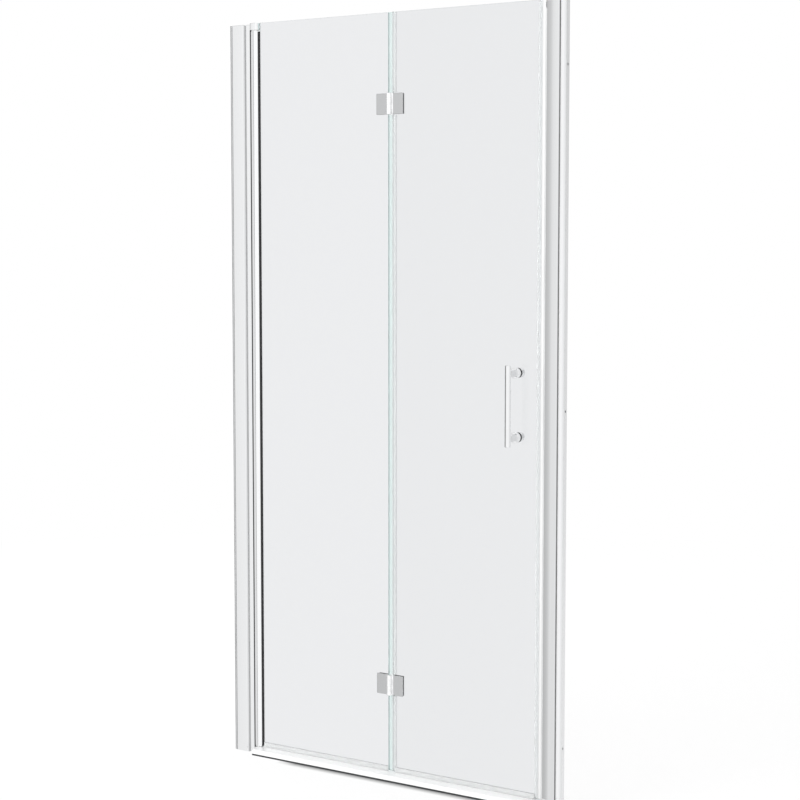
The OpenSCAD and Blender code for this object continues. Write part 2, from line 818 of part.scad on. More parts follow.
// Black washers on both faces of the glass, with a sleeve through it
module handle_washers() {
    color("black") for (z = handle_zs) difference() {
        union() {
            y_rod(handle_x, z, rose_y1, washer_t, rose_r - 0.1);
            y_rod(handle_x, z, half_glass, washer_t, rear_cap_r);
            y_rod(handle_x, z, -half_glass, glass_t, boss_r);
        }
        y_rod(handle_x, z, -20, 40, screw_bore_r);
    }
}

// Round caps behind the glass that take the handle bolts
module handle_rear_caps() {
    y0 = half_glass + washer_t;
    color("silver") for (z = handle_zs) difference() {
        translate([handle_x, y0, z]) rotate([-90, 0, 0]) rotate_extrude()
            polygon([
                [0, 0], [rear_cap_r, 0], [rear_cap_r, rear_cap_t - 1],
                [rear_cap_r - 1, rear_cap_t], [0, rear_cap_t]
            ]);
        y_rod(handle_x, z, y0 - 1, rear_cap_t + 2, screw_bore_r);
        y_rod(handle_x, z, y0 + 4, rear_cap_t, 4.6);
    }
}

// Socket head bolts from behind, through the glass and posts, into the bar
module handle_bolts() {
    y_head = half_glass + washer_t + 4;
    bolt_y0 = bar_y + 2;
    color("dimgray") for (z = handle_zs) difference() {
        union() {
            y_rod(handle_x, z, bolt_y0, y_head - bolt_y0, m5_r - slip);
            y_rod(handle_x, z, y_head, 3.2, 4.2);
        }
        translate([handle_x, y_head + 1, z]) rotate([-90, 0, 0]) cylinder(h = 4, r = 2, $fn = 6);
    }
}

// ======================================================== all parts
wall_channel_left();
wall_channel_right();
pivot_jamb();
strike_post();
post_top_caps();
post_edge_seals();
post_fixing_screws();
fixing_screw_covers();
strike_magnet();
jamb_wiper_seal();
pivot_block_top();
pivot_block_bottom();
pivot_pin_top();
pivot_pin_bottom();
pivot_block_screws();
threshold_rail();
threshold_gasket();
threshold_end_caps();
pivot_profile();
pivot_bush_top();
pivot_bush_bottom();
pivot_glass();
glazing_gasket_front();
glazing_wedge_rear();
pivot_drip_seal();
hinge_pivot_leaf_lower();
hinge_pivot_leaf_upper();
hinge_pivot_clamp_lower();
hinge_pivot_clamp_upper();
hinge_pivot_pads();
hinge_pivot_screws();
hinge_pin_lower();
hinge_pin_upper();
hinge_washers();
door_glass();
hinge_door_leaf_lower();
hinge_door_leaf_upper();
hinge_door_clamp_lower();
hinge_door_clamp_upper();
hinge_door_pads();
hinge_door_screws();
fold_seal();
door_edge_seal();
door_magnet();
door_drip_seal();
handle_bar();
handle_posts();
handle_roses();
handle_washers();
handle_rear_caps();
handle_bolts();
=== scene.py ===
import math

import bmesh
import bpy
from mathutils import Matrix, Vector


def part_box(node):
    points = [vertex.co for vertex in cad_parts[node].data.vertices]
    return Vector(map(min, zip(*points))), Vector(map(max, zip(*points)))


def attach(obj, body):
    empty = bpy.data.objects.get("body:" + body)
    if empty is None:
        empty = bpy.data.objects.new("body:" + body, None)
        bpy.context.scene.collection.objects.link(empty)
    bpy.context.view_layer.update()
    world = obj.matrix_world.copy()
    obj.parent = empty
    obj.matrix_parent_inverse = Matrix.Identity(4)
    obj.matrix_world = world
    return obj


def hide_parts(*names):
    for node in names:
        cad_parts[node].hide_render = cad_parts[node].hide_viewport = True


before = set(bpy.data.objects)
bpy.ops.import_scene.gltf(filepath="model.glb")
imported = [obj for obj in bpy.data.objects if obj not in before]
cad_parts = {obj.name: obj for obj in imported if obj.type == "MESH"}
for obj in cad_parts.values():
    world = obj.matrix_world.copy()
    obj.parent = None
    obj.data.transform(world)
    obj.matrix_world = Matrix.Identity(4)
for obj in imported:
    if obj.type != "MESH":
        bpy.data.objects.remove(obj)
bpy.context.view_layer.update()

# ---------------------------------------------------------------- camera
# The camera stands where the photograph was taken from: 4.6 m away, well to
# the right of the door and level with its upper half, looking slightly down.
bpy.ops.object.camera_add(
    location=(2.6385, -3.8005, 1.3484),
    rotation=(math.radians(90 - 4.878), 0, math.radians(34.454)),
)
camera = bpy.context.object
camera.name = "camera"
camera.data.sensor_width = 36
camera.data.lens = 84.432
bpy.context.scene.camera = camera
bpy.context.scene.view_settings.view_transform = "Standard"

# ---------------------------------------------------------------- studio
# A plain white floor that keeps a faint shadow and a narrow painted shade at the
# foot of the rail, white all round for the eye and through the glass, and a soft
# grey studio that only gloss picks up.
FLOOR_GLOW = 0.85
PAINTED_SHADE_DEPTH = 0.8
# The painted shade's four sides: the axis, where the shade starts and where it is full.
PAINTED_SHADE_SIDES = [
    ("Y", -0.061, -0.037), ("Y", -0.02, -0.03), ("X", -0.33, -0.27), ("X", 0.49, 0.46),
]

bpy.ops.mesh.primitive_circle_add(
    vertices=96, radius=4, fill_type="NGON", location=(0, 0, -0.0005)
)
floor = bpy.context.object
floor.name = "floor"
floor.visible_glossy = False
floor_paint = bpy.data.materials.new("white floor")
floor_paint.use_nodes = True
tree = floor_paint.node_tree
tree.nodes.clear()
matt = tree.nodes.new("ShaderNodeBsdfDiffuse")
matt.inputs["Color"].default_value = (0.95, 0.95, 0.95, 1)
glow = tree.nodes.new("ShaderNodeEmission")
blend = tree.nodes.new("ShaderNodeMixShader")
seen = tree.nodes.new("ShaderNodeLightPath")
direct = tree.nodes.new("ShaderNodeMath")
direct.operation = "MAXIMUM"
share = tree.nodes.new("ShaderNodeMath")
share.operation = "MULTIPLY"
share.inputs[1].default_value = FLOOR_GLOW
spot = tree.nodes.new("ShaderNodeTexCoord")
axes = tree.nodes.new("ShaderNodeSeparateXYZ")
tree.links.new(spot.outputs["Object"], axes.inputs[0])
# Painted shade: the floor's glow is darkened by position along the front of the rail, not by
# any lamp.
shade = None
for axis, start, end in PAINTED_SHADE_SIDES:
    fall = tree.nodes.new("ShaderNodeMapRange")
    fall.inputs["From Min"].default_value = start
    fall.inputs["From Max"].default_value = end
    tree.links.new(axes.outputs[axis], fall.inputs["Value"])
    if shade is None:
        shade = fall.outputs["Result"]
    else:
        both = tree.nodes.new("ShaderNodeMath")
        both.operation = "MULTIPLY"
        tree.links.new(shade, both.inputs[0])
        tree.links.new(fall.outputs["Result"], both.inputs[1])
        shade = both.outputs[0]
lit = tree.nodes.new("ShaderNodeMath")
lit.operation = "MULTIPLY_ADD"
lit.inputs[1].default_value = -PAINTED_SHADE_DEPTH
lit.inputs[2].default_value = 1.0
tree.links.new(shade, lit.inputs[0])
tree.links.new(lit.outputs[0], glow.inputs["Strength"])
floor_end = tree.nodes.new("ShaderNodeOutputMaterial")
tree.links.new(seen.outputs["Is Camera Ray"], share.inputs[0])
tree.links.new(share.outputs[0], direct.inputs[0])
tree.links.new(seen.outputs["Is Transmission Ray"], direct.inputs[1])
tree.links.new(direct.outputs[0], blend.inputs["Fac"])
tree.links.new(matt.outputs[0], blend.inputs[1])
tree.links.new(glow.outputs[0], blend.inputs[2])
tree.links.new(blend.outputs[0], floor_end.inputs["Surface"])
floor.data.materials.append(floor_paint)

# Brightness of the studio by heading in degrees, 0 in front of the door and
# positive to its right: at and above eye level, and below it.
STUDIO_HIGH = [
    (-180, 1.0), (-140, 1.0), (-125, 0.6), (-110, 0.25), (-75, 0.14), (-60, 0.24),
    (-50, 0.55), (-44, 0.67), (-41.5, 0.76), (-39, 0.89), (-34, 0.96), (-28, 1.0),
    (60, 1.0), (100, 0.78), (125, 0.92), (134, 0.92), (138, 0.6), (158, 0.62), (168, 1.0),
]
STUDIO_LOW = [
    (-180, 1.0), (-140, 1.0), (-125, 0.6), (-110, 0.25), (-75, 0.14), (-60, 0.24),
    (-50, 0.5), (-44, 0.61), (-41.5, 0.71), (-39, 0.88), (-34, 0.84), (-28, 0.97),
    (60, 0.97), (100, 0.78), (125, 0.92), (134, 0.92), (138, 0.5), (143, 0.5),
    (147, 0.87), (158, 0.87), (168, 1.0),
]
# The room's plain light, and the slant over which the low band turns into the high.
ROOM_LIGHT = 1.0
SLANT_LOW = -0.3
SLANT_HIGH = 0.08

studio = bpy.data.worlds.new("studio")
bpy.context.scene.world = studio
studio.use_nodes = True
tree = studio.node_tree
backdrop = tree.nodes["Background"]
heading = tree.nodes.new("ShaderNodeTexCoord")
split = tree.nodes.new("ShaderNodeSeparateXYZ")
flip = tree.nodes.new("ShaderNodeMath")
flip.operation = "MULTIPLY"
flip.inputs[1].default_value = -1
turn = tree.nodes.new("ShaderNodeMath")
turn.operation = "ARCTAN2"
dial = tree.nodes.new("ShaderNodeMapRange")
dial.inputs["From Min"].default_value = -math.pi
dial.inputs["From Max"].default_value = math.pi
tree.links.new(heading.outputs["Generated"], split.inputs[0])
tree.links.new(split.outputs["Y"], flip.inputs[0])
tree.links.new(split.outputs["X"], turn.inputs[0])
tree.links.new(flip.outputs[0], turn.inputs[1])
tree.links.new(turn.outputs[0], dial.inputs["Value"])
height = tree.nodes.new("ShaderNodeMapRange")
height.inputs["From Min"].default_value = SLANT_LOW
height.inputs["From Max"].default_value = SLANT_HIGH
tree.links.new(split.outputs["Z"], height.inputs["Value"])
bands = []
for stops in (STUDIO_LOW, STUDIO_HIGH):
    band = tree.nodes.new("ShaderNodeValToRGB")
    for index, (degrees, grey) in enumerate(stops):
        place = degrees / 360 + 0.5
        if index == 0:
            stop = band.color_ramp.elements[0]
            stop.position = place
        elif index == 1:
            stop = band.color_ramp.elements[1]
            stop.position = place
        else:
            stop = band.color_ramp.elements.new(place)
        stop.color = (grey, grey * 1.002, grey * 1.006, 1)
    tree.links.new(dial.outputs["Result"], band.inputs["Fac"])
    bands.append(band)


def blend_colours(tree, factor, first, second):
    """A node that goes from the first colour to the second."""
    node = tree.nodes.new("ShaderNodeMix")
    node.data_type = "RGBA"
    tree.links.new(factor, node.inputs["Factor"])
    for socket, colour in ((node.inputs[6], first), (node.inputs[7], second)):
        if isinstance(colour, tuple):
            socket.default_value = colour
        else:
            tree.links.new(colour, socket)
    return node.outputs[2]


seen = tree.nodes.new("ShaderNodeLightPath")
direct = tree.nodes.new("ShaderNodeMath")
direct.operation = "MAXIMUM"
tree.links.new(seen.outputs["Is Camera Ray"], direct.inputs[0])
tree.links.new(seen.outputs["Is Transmission Ray"], direct.inputs[1])
gloss = blend_colours(
    tree, height.outputs["Result"], bands[0].outputs[0], bands[1].outputs[0]
)
around = blend_colours(
    tree,
    seen.outputs["Is Glossy Ray"],
    (ROOM_LIGHT, ROOM_LIGHT, ROOM_LIGHT, 1),
    gloss,
)
sky = blend_colours(tree, direct.outputs[0], around, (1, 1, 1, 1))
tree.links.new(sky, backdrop.inputs["Color"])

bpy.ops.object.light_add(
    type="AREA", location=(-1.6, -3.2, 3.4), rotation=(math.radians(52), 0, math.radians(-27))
)
softbox = bpy.context.object
softbox.name = "softbox"
softbox.data.shape = "RECTANGLE"
softbox.data.size, softbox.data.size_y = 2.6, 1.8
softbox.data.energy = 80
softbox.visible_glossy = False


# ---------------------------------------------------------------- wall channels
# Extruded aluminium channels with a satin silver face and one rounded corner,
# screwed to the walls through three holes. The posts slide over their open side.
def pick(*objects):
    """Selects only these objects, the first one active."""
    if bpy.context.object and bpy.context.object.mode != "OBJECT":
        bpy.ops.object.mode_set(mode="OBJECT")
    bpy.ops.object.select_all(action="DESELECT")
    for thing in objects:
        thing.select_set(True)
    bpy.context.view_layer.objects.active = objects[0]


def finish(name, tones, roughness, grain, relief=0.0, sockets=()):
    """A finish whose colour and roughness drift between two values with the grain."""
    paint = bpy.data.materials.new(name)
    paint.use_nodes = True
    tree = paint.node_tree
    shader = tree.nodes["Principled BSDF"]
    where = tree.nodes.new("ShaderNodeTexCoord")
    stretch = tree.nodes.new("ShaderNodeMapping")
    stretch.inputs["Scale"].default_value = grain
    noise = tree.nodes.new("ShaderNodeTexNoise")
    noise.inputs["Scale"].default_value = 1
    noise.inputs["Detail"].default_value = 5
    tree.links.new(where.outputs["Object"], stretch.inputs["Vector"])
    tree.links.new(stretch.outputs["Vector"], noise.inputs["Vector"])
    drift = tree.nodes.new("ShaderNodeValToRGB")
    for stop, place, tone in zip(drift.color_ramp.elements, (0.3, 0.7), tones):
        stop.position = place
        stop.color = (*tone, 1)
    tree.links.new(noise.outputs["Fac"], drift.inputs["Fac"])
    tree.links.new(drift.outputs["Color"], shader.inputs["Base Color"])
    polish = tree.nodes.new("ShaderNodeMapRange")
    polish.inputs["From Min"].default_value = 0.3
    polish.inputs["From Max"].default_value = 0.7
    polish.inputs["To Min"].default_value = roughness[0]
    polish.inputs["To Max"].default_value = roughness[1]
    tree.links.new(noise.outputs["Fac"], polish.inputs["Value"])
    tree.links.new(polish.outputs["Result"], shader.inputs["Roughness"])
    if relief:
        bump = tree.nodes.new("ShaderNodeBump")
        bump.inputs["Strength"].default_value = 0.4
        bump.inputs["Distance"].default_value = relief
        tree.links.new(noise.outputs["Fac"], bump.inputs["Height"])
        tree.links.new(bump.outputs["Normal"], shader.inputs["Normal"])
    for socket, value in dict(sockets).items():
        shader.inputs[socket].default_value = value
    return paint


def paint_node(node, paint):
    """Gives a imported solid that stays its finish."""
    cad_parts[node].material_slots[0].material = paint


def carried_over(node, name):
    """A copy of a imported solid, with its loose triangles merged into clean faces."""
    piece = bpy.data.objects.new(name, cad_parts[node].data.copy())
    piece.data.name = name
    bpy.context.scene.collection.objects.link(piece)
    pick(piece)
    bpy.ops.mesh.customdata_custom_splitnormals_clear()
    bpy.ops.object.mode_set(mode="EDIT")
    bpy.ops.mesh.select_all(action="SELECT")
    bpy.ops.mesh.remove_doubles(threshold=1e-6)
    bpy.ops.mesh.dissolve_limited(angle_limit=math.radians(0.6))
    bpy.ops.object.mode_set(mode="OBJECT")
    return piece


def ease_edges(piece, width, segments, wanted):
    """Rounds the sharp edges for which wanted(start, end) holds."""
    pick(piece)
    bpy.ops.object.mode_set(mode="EDIT")
    bpy.ops.mesh.select_mode(type="EDGE")
    bpy.ops.mesh.select_all(action="DESELECT")
    mesh = bmesh.from_edit_mesh(piece.data)
    for edge in mesh.edges:
        sharp = len(edge.link_faces) == 2 and edge.calc_face_angle() > math.radians(24)
        edge.select_set(sharp and wanted(edge.verts[0].co, edge.verts[1].co))
    bmesh.update_edit_mesh(piece.data)
    bpy.ops.mesh.bevel(offset=width, segments=segments, affect="EDGES")
    bpy.ops.object.mode_set(mode="OBJECT")
    return piece


def is_long(start, end):
    """An edge that runs along an extrusion."""
    return (start - end).length > 0.3


def any_edge(start, end):
    """Every sharp edge."""
    return True


def dress(piece, body, slot, paint, *nodes):
    """Shades a finished piece, paints it and puts it on its body."""
    pick(piece)
    bpy.ops.object.transform_apply(location=True, rotation=True, scale=True)
    bpy.ops.object.shade_smooth_by_angle(angle=math.radians(50))
    even = piece.modifiers.new("even", "WEIGHTED_NORMAL")
    even.keep_sharp = True
    bpy.ops.object.modifier_apply(modifier=even.name)
    if paint:
        piece.data.materials.clear()
        piece.data.materials.append(paint)
    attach(piece, body)
    if nodes:
        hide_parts(*nodes)
    return piece


satin = finish(
    "satin aluminium", [(0.95, 0.955, 0.96), (0.98, 0.985, 0.99)], (0.2, 0.28),
    (900, 900, 6), 0.000004, {"Metallic": 1.0},
)
brushed = finish(
    "brushed aluminium", [(0.95, 0.955, 0.96), (0.98, 0.985, 0.99)], (0.5, 0.6),
    (900, 900, 6), 0.000004, {"Metallic": 1.0},
)
CORNER_BACK = -0.003
for side in ("left", "right"):
    channel = carried_over(f"wall_channel_{side}", f"channel_{side}")
    ease_edges(channel, 0.0003, 2, is_long)
    dress(channel, "frame", "satin_aluminium", satin, f"wall_channel_{side}")
    channel.data.materials.append(brushed)
    for face in channel.data.polygons:
        round_corner = abs(face.normal.x) > 0.06 and face.normal.y < -0.06
        if round_corner and face.center.y < CORNER_BACK:
            face.material_index = 1

# ---------------------------------------------------------------- posts
# Bright polished aluminium extrusions. The left one is the jamb that carries the
# pivots, the right one has a shallow curved face and takes the magnet strip.
polished = finish(
    "polished aluminium", [(0.965, 0.97, 0.975), (0.985, 0.99, 0.995)], (0.06, 0.1),
    (1200, 1200, 4), 0.0, {"Metallic": 1.0},
)
PIVOT_X = -0.418
CRADLE_R = 0.01305
STEP_X = (-0.4437, -0.4431)
STEP_Y = (0.0094, 0.0134)
END_FACE_X = -0.4287

jamb = carried_over("pivot_jamb", "jamb_post")
ease_edges(jamb, 0.0004, 2, is_long)
dress(jamb, "frame", "polished_aluminium", polished, "pivot_jamb")

# Painted shade: a mid grey on the jamb's step wall stands in for the shade in the step.
step_shade_paint = finish(
    "painted shade on the jamb step", [(0.48, 0.484, 0.488), (0.54, 0.544, 0.548)], (0.4, 0.5),
    (900, 900, 8), 0.000004, {"Metallic": 0.5},
)
# Painted shade: a near-black grey in the cradle, on the jamb's end face and in the tube's
# front groove stands in for the shade in these hollows.
groove_shade_paint = finish(
    "painted shade in grooves", [(0.12, 0.121, 0.122), (0.18, 0.181, 0.182)], (0.4, 0.5),
    (900, 900, 8), 0.000004, {"Metallic": 0.5},
)
jamb.data.materials.append(step_shade_paint)
jamb.data.materials.append(groove_shade_paint)
for face in jamb.data.polygons:
    across, away = face.center.x, abs(face.center.y)
    in_cradle = math.hypot(across - PIVOT_X, away) < CRADLE_R
    on_end = across > END_FACE_X and face.normal.x > 0.9
    if STEP_X[0] < across < STEP_X[1] and STEP_Y[0] < away < STEP_Y[1]:
        face.material_index = 1
    elif in_cradle or on_end:
        face.material_index = 2

# Painted shade: a darker copy of the polished aluminium stands in for the dimmer reflection
# on the curved post.
shaded_strike_metal = finish(
    "curved post aluminium, shaded copy", [(0.825, 0.83, 0.835), (0.845, 0.85, 0.855)], (0.05, 0.09),
    (1200, 1200, 4), 0.0, {"Metallic": 1.0},
)
strike = carried_over("strike_post", "strike_profile")
ease_edges(strike, 0.0004, 2, is_long)
dress(strike, "frame", "polished_aluminium", shaded_strike_metal, "strike_post")

caps = carried_over("post_top_caps", "post_caps")
cap_top = max(v.co.z for v in caps.data.vertices)
ease_edges(caps, 0.0005, 2, lambda a, b: min(a.z, b.z) > cap_top - 0.0001)
dress(caps, "frame", "polished_aluminium", polished, "post_top_caps")

# ---------------------------------------------------------------- channel seals
# Dark grey rubber strips on the channels that close the long edges of the posts.
grey_rubber = finish(
    "grey rubber", [(0.13, 0.132, 0.135), (0.19, 0.192, 0.195)], (0.5, 0.7),
    (260, 260, 260), 0.00005, {"Specular IOR Level": 0.35},
)
paint_node("post_edge_seals", grey_rubber)
paint_node("jamb_wiper_seal", grey_rubber)

# ---------------------------------------------------------------- fixing screws
# Stainless pan head screws hold the posts on their channels, on the shower side,
# each under a chromed cap that snaps over its head.
steel = finish(
    "stainless steel", [(0.55, 0.555, 0.56), (0.66, 0.665, 0.67)], (0.22, 0.34),
    (700, 700, 700), 0.000004, {"Metallic": 1.0},
)
chrome = finish(
    "chrome plate", [(0.9, 0.905, 0.91), (0.94, 0.945, 0.95)], (0.03, 0.07),
    (45, 45, 45), 0.0, {"Metallic": 1.0},
)
paint_node("post_fixing_screws", steel)
paint_node("pivot_block_screws", steel)


def round_bar(name, centre, radius, depth, along, sides=48):
    """A closed cylinder along one axis, in place."""
    turned = {"x": (0, math.pi / 2, 0), "y": (math.pi / 2, 0, 0), "z": (0, 0, 0)}
    bpy.ops.mesh.primitive_cylinder_add(
        vertices=sides, radius=radius, depth=depth, location=centre, rotation=turned[along]
    )
    piece = bpy.context.object
    piece.name = piece.data.name = name
    pick(piece)
    bpy.ops.object.transform_apply(location=True, rotation=True, scale=True)
    return piece


def again(piece, name, shift):
    """The same piece once more, with its own mesh, a shift away."""
    pick(piece)
    bpy.ops.object.duplicate(linked=False)
    copy = bpy.context.object
    copy.name = copy.data.name = name
    bpy.ops.transform.translate(value=shift)
    bpy.ops.object.transform_apply(location=True, rotation=True, scale=True)
    return copy


def joined(name, *pieces):
    """One piece from several that touch nowhere."""
    pick(*pieces)
    bpy.ops.object.join()
    bpy.context.object.name = bpy.context.object.data.name = name
    return bpy.context.object


def hollow_end(piece, y, wall, depth):
    """Sinks a round pocket into the end face at y, with a wall left round it."""
    pick(piece)
    bpy.ops.object.mode_set(mode="EDIT")
    bpy.ops.mesh.select_mode(type="FACE")
    bpy.ops.mesh.select_all(action="DESELECT")
    mesh = bmesh.from_edit_mesh(piece.data)
    for face in mesh.faces:
        flat = abs(face.normal.y) > 0.99 and len(face.verts) > 8
        face.select_set(flat and abs(face.calc_center_median().y - y) < 1e-5)
    bmesh.update_edit_mesh(piece.data)
    bpy.ops.mesh.inset(thickness=wall)
    bpy.ops.mesh.extrude_region_move(TRANSFORM_OT_translate={"value": (0, depth, 0)})
    bpy.ops.object.mode_set(mode="OBJECT")
    return piece


COVER_X = -0.471
COVER_HEIGHTS = (0.16, 0.95, 1.74)
COVER_R = 0.006
COVER_DEEP = 0.004
cover_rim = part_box("fixing_screw_covers")[1].y
cover = round_bar(
    "cover", (COVER_X, cover_rim - COVER_DEEP / 2, COVER_HEIGHTS[0]), COVER_R, COVER_DEEP, "y"
)
ease_edges(cover, 0.0016, 5, lambda a, b: min(a.y, b.y) > cover_rim - 1e-5)
hollow_end(cover, cover_rim - COVER_DEEP, 0.0018, 0.0023)
covers = [cover]
for x in (COVER_X, -COVER_X):
    for z in COVER_HEIGHTS:
        if (x, z) != (COVER_X, COVER_HEIGHTS[0]):
            shift = (x - COVER_X, 0, z - COVER_HEIGHTS[0])
            covers.append(again(cover, "cover_copy", shift))
dress(joined("screw_covers", *covers), "frame", "chrome", chrome, "fixing_screw_covers")

# ---------------------------------------------------------------- magnet strips
# White flexible magnet strips: one held in the strike post's groove, one on the
# free edge of the door. They pull together when the door is shut.
magnet_white = finish(
    "white magnet strip", [(0.76, 0.764, 0.764), (0.81, 0.813, 0.813)], (0.4, 0.5),
    (90, 90, 12), 0.00001, {"Specular IOR Level": 0.3},
)
for node, name, body in (
    ("strike_magnet", "magnet_on_post", "frame"),
    ("door_magnet", "magnet_on_door", "door_panel"),
):
    strip = carried_over(node, name)
    ease_edges(strip, 0.0004, 2, is_long)
    dress(strip, body, "white_magnet", magnet_white, node)

# ---------------------------------------------------------------- pivots
# Solid end blocks, keyed into the jamb by a tongue, hold steel pins that the
# nylon bushes in the tube's ends turn on.
nylon = finish(
    "natural nylon", [(0.8, 0.8, 0.75), (0.86, 0.86, 0.82)], (0.45, 0.55),
    (300, 300, 300), 0.00001,
)
for end in ("top", "bottom"):
    block = carried_over(f"pivot_block_{end}", f"end_block_{end}")
    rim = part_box(f"pivot_block_{end}")[1].z
    ease_edges(block, 0.0006, 3, lambda a, b: min(a.z, b.z) > rim - 1e-5)
    dress(block, "frame", "polished_aluminium", polished, f"pivot_block_{end}")
    paint_node(f"pivot_pin_{end}", steel)
    paint_node(f"pivot_bush_{end}", nylon)

# ---------------------------------------------------------------- threshold
# A low hollow aluminium rail with a rounded front edge lies across the tray on a
# dark sealing strip, and end plates close it.
frosted = finish(
    "frosted aluminium", [(0.97, 0.972, 0.975), (0.99, 0.992, 0.995)], (0.3, 0.4),
    (6, 900, 900), 0.000004, {"Metallic": 0.2},
)
sill = carried_over("threshold_rail", "sill_rail")
ease_edges(sill, 0.0006, 3, is_long)
dress(sill, "frame", "satin_aluminium", frosted, "threshold_rail")
paint_node("threshold_end_caps", frosted)
base_rubber = finish(
    "dark base rubber", [(0.03, 0.031, 0.033), (0.06, 0.061, 0.063)], (0.6, 0.75),
    (40, 260, 260), 0.00005, {"Specular IOR Level": 0.3},
)
paint_node("threshold_gasket", base_rubber)

# ---------------------------------------------------------------- pivot profile
# The turning tube and its two jaws are one bright extrusion. Black gaskets in
# the jaws' slot grip the glass on both faces.
tube = carried_over("pivot_profile", "pivot_tube")


SEAM_X = (-0.4175, -0.4155)
SEAM_BACK = -0.0088
SEAM_FRONT = -0.0101


def in_seam(point):
    """The fine groove down the front of the tube."""
    return SEAM_X[0] < point.x < SEAM_X[1] and point.y < SEAM_BACK


ease_edges(tube, 0.0004, 2, lambda a, b: is_long(a, b) and not in_seam(a))
dress(tube, "pivot_panel", "polished_aluminium", polished, "pivot_profile")
# Painted shade in the groove down the front of the tube.
tube.data.materials.append(groove_shade_paint)
for face in tube.data.polygons:
    if in_seam(face.center) and face.center.y > SEAM_FRONT:
        face.material_index = 1

black_rubber = finish(
    "black rubber", [(0.012, 0.012, 0.013), (0.03, 0.03, 0.032)], (0.45, 0.65),
    (300, 300, 300), 0.00004, {"Specular IOR Level": 0.4},
)
paint_node("glazing_gasket_front", black_rubber)
paint_node("glazing_wedge_rear", black_rubber)

# ---------------------------------------------------------------- glass
# Clear toughened glass, 6 mm thick, with ground and polished edges that look
# green from the side. Holes take the hinges' and the handle's fixings.
GLASS_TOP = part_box("door_glass")[1].z
GLASS_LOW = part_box("door_glass")[0].z
HALF_GLASS = 0.003
HOLE_RADIUS = 0.006
HINGE_HEIGHTS = (0.239, 1.679)
SCREW_STEP = 0.013
HANDLE_HOLES = [(0.3672, 0.8825), (0.3672, 1.0355)]
NOTCH_LOW = 1.8785
NOTCH_RIGHT = -0.4021
COVERED_X = 0.4319


def block(name, x, y, z):
    """A box between two values on each axis, in place."""
    bpy.ops.mesh.primitive_cube_add(
        size=1, location=(sum(x) / 2, sum(y) / 2, sum(z) / 2)
    )
    piece = bpy.context.object
    piece.scale = (x[1] - x[0], y[1] - y[0], z[1] - z[0])
    piece.name = piece.data.name = name
    pick(piece)
    bpy.ops.object.transform_apply(location=True, rotation=True, scale=True)
    return piece


def combine(piece, tool, operation):
    """Cuts the tool out of the piece, or adds it."""
    pick(piece)
    step = piece.modifiers.new("combine", "BOOLEAN")
    step.operation = operation
    step.solver = "EXACT"
    step.object = tool
    bpy.ops.object.modifier_apply(modifier=step.name)
    bpy.data.objects.remove(tool)
    return piece


def glass_pane(name, x0, x1, holes, corner):
    """A pane with ground edges; corner is the x up to which its top is notched."""
    pane = block(name, (x0, x1), (-HALF_GLASS, HALF_GLASS), (GLASS_LOW, GLASS_TOP))
    if corner:
        notch = block("notch", (x0 - 0.01, corner), (-0.02, 0.02), (NOTCH_LOW, 2))
        combine(pane, notch, "DIFFERENCE")
    ease_edges(pane, 0.0006, 2, any_edge)
    for x, z in holes:
        drill = round_bar("drill", (x, 0, z), HOLE_RADIUS, 0.04, "y")
        combine(pane, drill, "DIFFERENCE")
    return pane


def clear_glass(name, tint):
    """Glass that is almost flawless, with a tint that hardly drifts."""
    shade = [tuple(c * k for c in tint) for k in (0.996, 1.0)]
    return finish(
        name, shade, (0.0, 0.004), (1.5, 1.5, 0.8), 0.0,
        {"Transmission Weight": 1.0, "IOR": 1.5},
    )


edge_glass = finish(
    "ground glass edge", [(0.9, 0.99, 0.985), (0.94, 1.0, 0.995)], (0.2, 0.3),
    (60, 60, 25), 0.0, {"Transmission Weight": 0.08, "IOR": 1.5},
)


def paint_rear_shade(paint, tone):
    """Paints shade into the colour: it goes to a darker tone towards the rear of the pane."""
    tree = paint.node_tree
    where = tree.nodes.new("ShaderNodeTexCoord")
    split = tree.nodes.new("ShaderNodeSeparateXYZ")
    depth = tree.nodes.new("ShaderNodeMapRange")
    depth.inputs["From Min"].default_value = -HALF_GLASS
    depth.inputs["From Max"].default_value = HALF_GLASS
    layer = tree.nodes.new("ShaderNodeMix")
    layer.data_type = "RGBA"
    layer.blend_type = "MULTIPLY"
    layer.inputs[7].default_value = (*tone, 1)
    base = tree.nodes["Principled BSDF"].inputs["Base Color"]
    tree.links.new(where.outputs["Object"], split.inputs[0])
    tree.links.new(split.outputs["Y"], depth.inputs["Value"])
    tree.links.new(depth.outputs["Result"], layer.inputs["Factor"])
    tree.links.new(base.links[0].from_socket, layer.inputs[6])
    tree.links.new(layer.outputs[2], base)


# The edges' green is their own; their darker rear is painted shade.
paint_rear_shade(edge_glass, (0.55, 0.68, 0.68))


def dress_pane(pane, body, faces, node):
    """Clear on both faces and under the magnet's carrier, green on the other edges."""
    dress(pane, body, "glass", faces, node)
    pane.data.materials.append(edge_glass)
    for face in pane.data.polygons:
        covered = face.center.x > COVERED_X
        face.material_index = 0 if abs(face.normal.y) > 0.9 or covered else 1


hinge_holes = [(z + step) for z in HINGE_HEIGHTS for step in (-SCREW_STEP, SCREW_STEP)]
# The two panes take lit and shaded copies of one glass: the door pane's darker tint is
# painted shade.
pivot_pane = glass_pane(
    "pivot_pane", -0.411, -0.0024, [(-0.021, z) for z in hinge_holes], NOTCH_RIGHT
)
dress_pane(
    pivot_pane, "pivot_panel", clear_glass("clear glass lit copy", (0.842, 0.849, 0.862)),
    "pivot_glass",
)
door_pane = glass_pane(
    "door_pane", 0.0108, 0.432,
    [(0.03, z) for z in hinge_holes] + HANDLE_HOLES, None,
)
dress_pane(
    door_pane, "door_panel", clear_glass("clear glass shaded copy", (0.82, 0.828, 0.84)),
    "door_glass",
)

